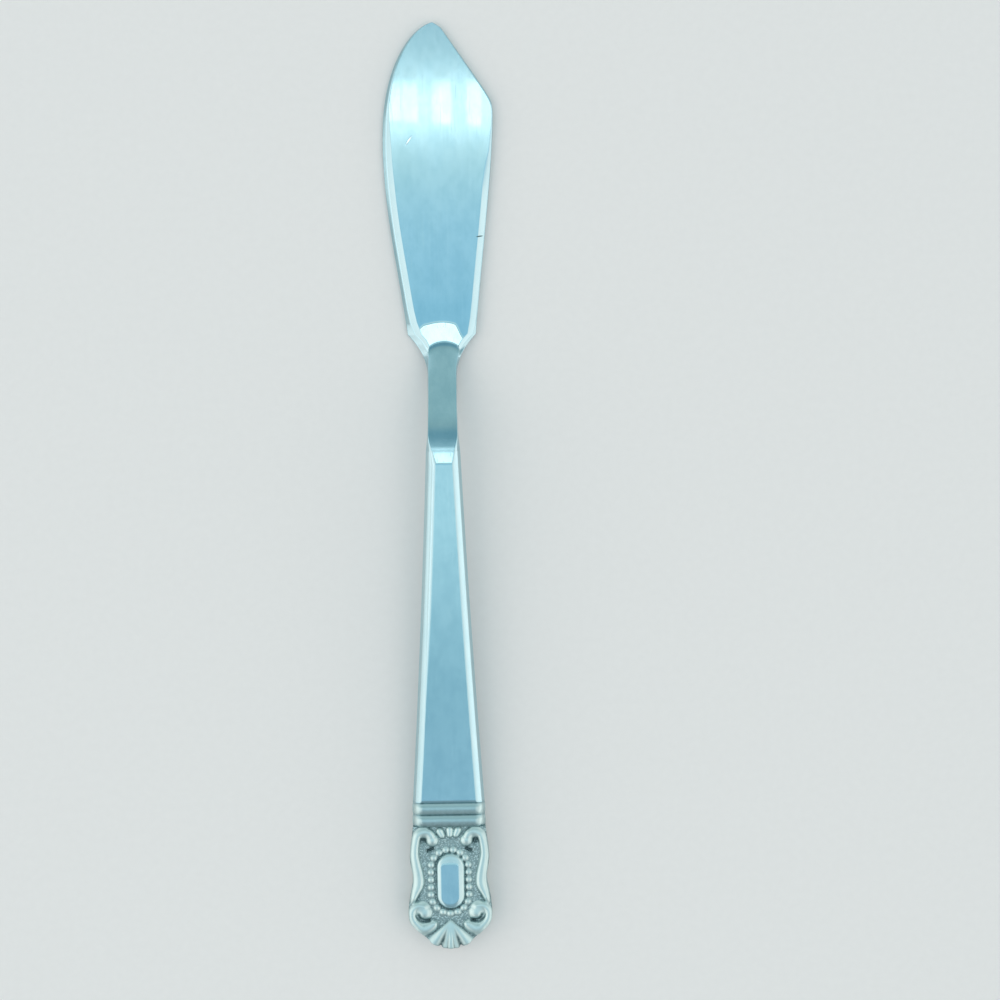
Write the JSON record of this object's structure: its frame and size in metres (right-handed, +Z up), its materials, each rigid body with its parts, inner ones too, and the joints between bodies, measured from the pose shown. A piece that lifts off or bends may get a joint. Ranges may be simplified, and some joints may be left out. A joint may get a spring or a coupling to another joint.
{
  "type": "butter spreader",
  "caption": "Silver table butter spreader: flat paddle blade with a clipped back, cranked neck, and a bevelled hollow handle ending in a scrolled, beaded terminal.",
  "frame": {"origin": "centre of the box round the whole spreader, on the surface that it lies on", "axes": "+Y towards the tip of the blade, +Z up from the surface, with the patterned face of the handle up"},
  "size_m": [0.0206, 0.1718, 0.0092],
  "materials": {
    "blade_silver": "polished silver with fine scratches",
    "handle_silver": "polished silver, darkened in the sunk grounds",
    "cement": "dull cast resin"
  },
  "bodies": {
    "root": {"blade": "blade_silver", "handle_front": "handle_silver", "handle_back": "handle_silver", "handle_cement": "cement"}
  },
  "joints": []
}
